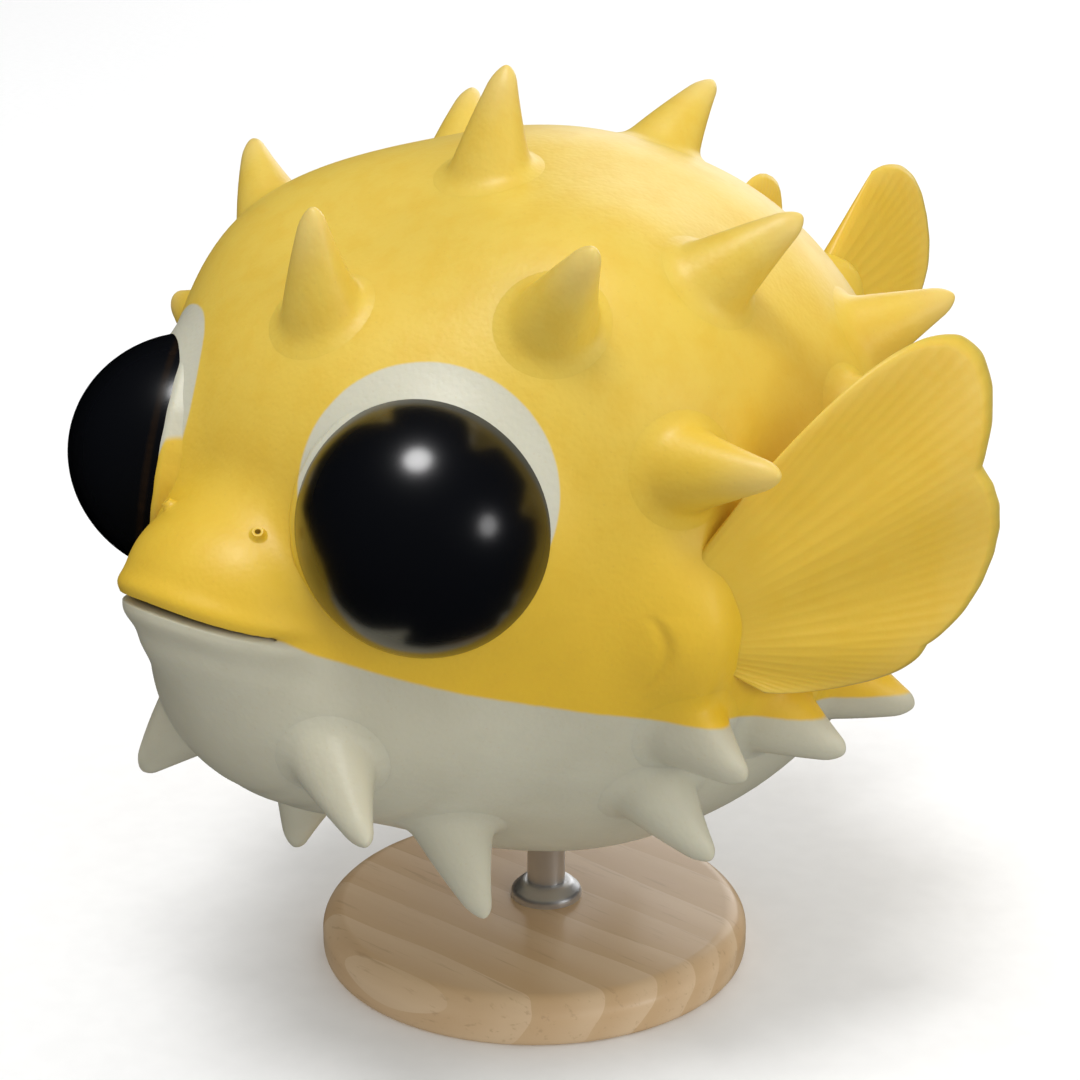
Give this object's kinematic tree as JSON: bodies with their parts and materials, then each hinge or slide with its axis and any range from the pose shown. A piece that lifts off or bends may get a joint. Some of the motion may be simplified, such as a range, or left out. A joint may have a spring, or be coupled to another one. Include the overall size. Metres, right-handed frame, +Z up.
{
  "type": "spiny pufferfish",
  "caption": "Puffed-up young burrfish, a spiny pufferfish, life size, with stout spines, big eyes and fanned fins, held over a round base by one short rod.",
  "frame": {"origin": "middle of the underside of the stand's base", "axes": "+Z up; the fish faces -Y and its left side is +X"},
  "size_m": [0.1178, 0.1441, 0.1161],
  "materials": {
    "skin": "moist satin, warm yellow",
    "belly_skin": "moist satin, cream white",
    "fin": "thin moist web over fin rays, yellow",
    "eye": "wet gloss, nearly black with a thin amber iris",
    "base_wood": "pale maple, satin lacquer",
    "rod_steel": "brushed along the rod"
  },
  "bodies": {
    "root": {"head": "skin", "back": "skin", "tail_stalk": "skin", "lower_jaw": "belly_skin", "belly": "belly_skin", "pectoral_fin_left": "fin", "pectoral_fin_right": "fin", "dorsal_fin": "fin", "anal_fin": "fin", "tail_fin": "fin", "eye_left": "eye", "eye_right": "eye", "stand_base": "base_wood", "stand_rod": "rod_steel"}
  },
  "joints": []
}
